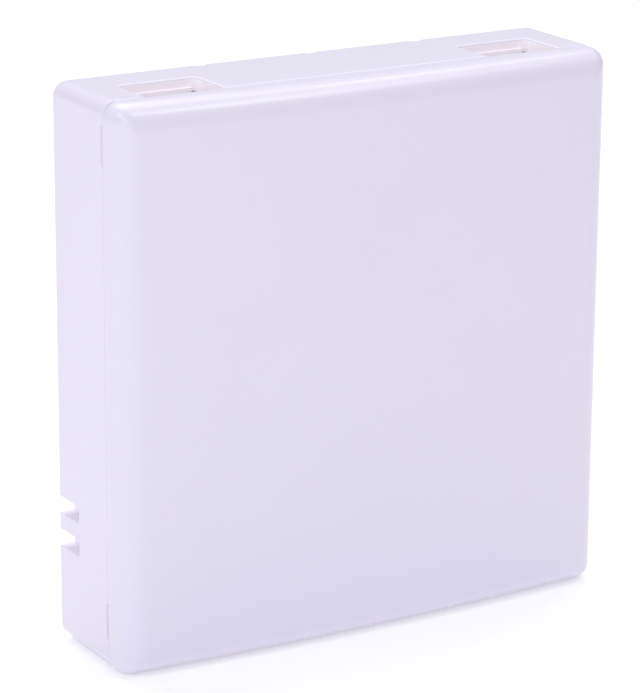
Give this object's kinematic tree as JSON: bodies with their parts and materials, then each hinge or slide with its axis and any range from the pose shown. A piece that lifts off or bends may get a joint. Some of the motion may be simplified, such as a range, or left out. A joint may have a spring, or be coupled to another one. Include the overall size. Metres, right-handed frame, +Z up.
{
  "type": "fibre termination box",
  "caption": "Square wall box for terminating optical fibres: crowned clip-on cover, shuttered adapter ports in the top edge, side cable entries and a splice tray.",
  "frame": {"origin": "centre of the box's footprint, on the surface that it stands on", "axes": "+Z up, towards the adapter ports; -Y out of the cover's face, +Y into the wall; +X to the right, seen from the front"},
  "size_m": [0.1, 0.0258, 0.1011],
  "materials": {
    "shell": "satin, fine spark texture",
    "tray": "satin",
    "adapter": "satin",
    "insert": "satin",
    "ceramic": "polished ceramic",
    "boot": "matte",
    "fibre": "satin",
    "sleeve": "clear shrink tube",
    "steel": "zinc plated"
  },
  "bodies": {
    "base": {"base_shell": "shell", "splice_tray": "tray", "splice_sleeve_left": "sleeve", "splice_sleeve_right": "sleeve", "adapter_outer_half_left": "adapter", "adapter_inner_half_left": "adapter", "adapter_outer_latch_left": "insert", "adapter_inner_latch_left": "insert", "alignment_sleeve_left": "ceramic", "adapter_clip_left": "steel", "plug_ferrule_left": "ceramic", "plug_body_left": "insert", "plug_boot_left": "boot", "cable_clamp_left": "tray", "pigtail_left": "fibre", "adapter_outer_half_right": "adapter", "adapter_inner_half_right": "adapter", "adapter_outer_latch_right": "insert", "adapter_inner_latch_right": "insert", "alignment_sleeve_right": "ceramic", "adapter_clip_right": "steel", "plug_ferrule_right": "ceramic", "plug_body_right": "insert", "plug_boot_right": "boot", "cable_clamp_right": "tray", "pigtail_right": "fibre"},
    "cover": {"front_cover": "shell"},
    "shutter_left": {"adapter_shutter_left": "insert"},
    "shutter_right": {"adapter_shutter_right": "insert"},
    "grip_left": {"plug_grip_left": "adapter"},
    "grip_right": {"plug_grip_right": "adapter"},
    "tray_screw_lower": {"tray_screw_lower": "steel"},
    "tray_screw_upper": {"tray_screw_upper": "steel"},
    "clamp_screw_left_lower": {"clamp_screw_left_lower": "steel"},
    "clamp_screw_left_upper": {"clamp_screw_left_upper": "steel"},
    "clamp_screw_right_lower": {"clamp_screw_right_lower": "steel"},
    "clamp_screw_right_upper": {"clamp_screw_right_upper": "steel"}
  },
  "joints": [
    {"name": "cover_pull", "type": "slide", "parent": "base", "child": "cover", "axis": [0, -1, 0], "range_m": [0, 0.03]},
    {"name": "shutter_left_hinge", "type": "hinge", "parent": "base", "child": "shutter_left", "pos_m": [-0.0342, 0.0031, 0.0961], "axis": [1, 0, 0], "range_deg": [0, 88], "stiffness_Nm_per_rad": 0.00002, "springref_deg": -20.05},
    {"name": "shutter_right_hinge", "type": "hinge", "parent": "base", "child": "shutter_right", "pos_m": [0.0342, 0.0031, 0.0961], "axis": [1, 0, 0], "range_deg": [0, 88], "stiffness_Nm_per_rad": 0.00002, "springref_deg": -20.05},
    {"name": "grip_left_slide", "type": "slide", "parent": "base", "child": "grip_left", "axis": [0, 0, -1], "range_m": [0, 0.001]},
    {"name": "grip_right_slide", "type": "slide", "parent": "base", "child": "grip_right", "axis": [0, 0, -1], "range_m": [0, 0.001]},
    {"name": "tray_screw_lower_turn", "type": "hinge", "parent": "base", "child": "tray_screw_lower", "pos_m": [0, 0.003, 0.019], "axis": [0, -1, 0], "continuous": true},
    {"name": "tray_screw_upper_turn", "type": "hinge", "parent": "base", "child": "tray_screw_upper", "pos_m": [0, 0.003, 0.087], "axis": [0, -1, 0], "continuous": true},
    {"name": "clamp_screw_left_lower_turn", "type": "hinge", "parent": "base", "child": "clamp_screw_left_lower", "pos_m": [-0.036, 0.003, 0.0134], "axis": [0, -1, 0], "continuous": true},
    {"name": "clamp_screw_left_upper_turn", "type": "hinge", "parent": "base", "child": "clamp_screw_left_upper", "pos_m": [-0.036, 0.003, 0.0309], "axis": [0, -1, 0], "continuous": true},
    {"name": "clamp_screw_right_lower_turn", "type": "hinge", "parent": "base", "child": "clamp_screw_right_lower", "pos_m": [0.036, 0.003, 0.0134], "axis": [0, -1, 0], "continuous": true},
    {"name": "clamp_screw_right_upper_turn", "type": "hinge", "parent": "base", "child": "clamp_screw_right_upper", "pos_m": [0.036, 0.003, 0.0309], "axis": [0, -1, 0], "continuous": true}
  ]
}
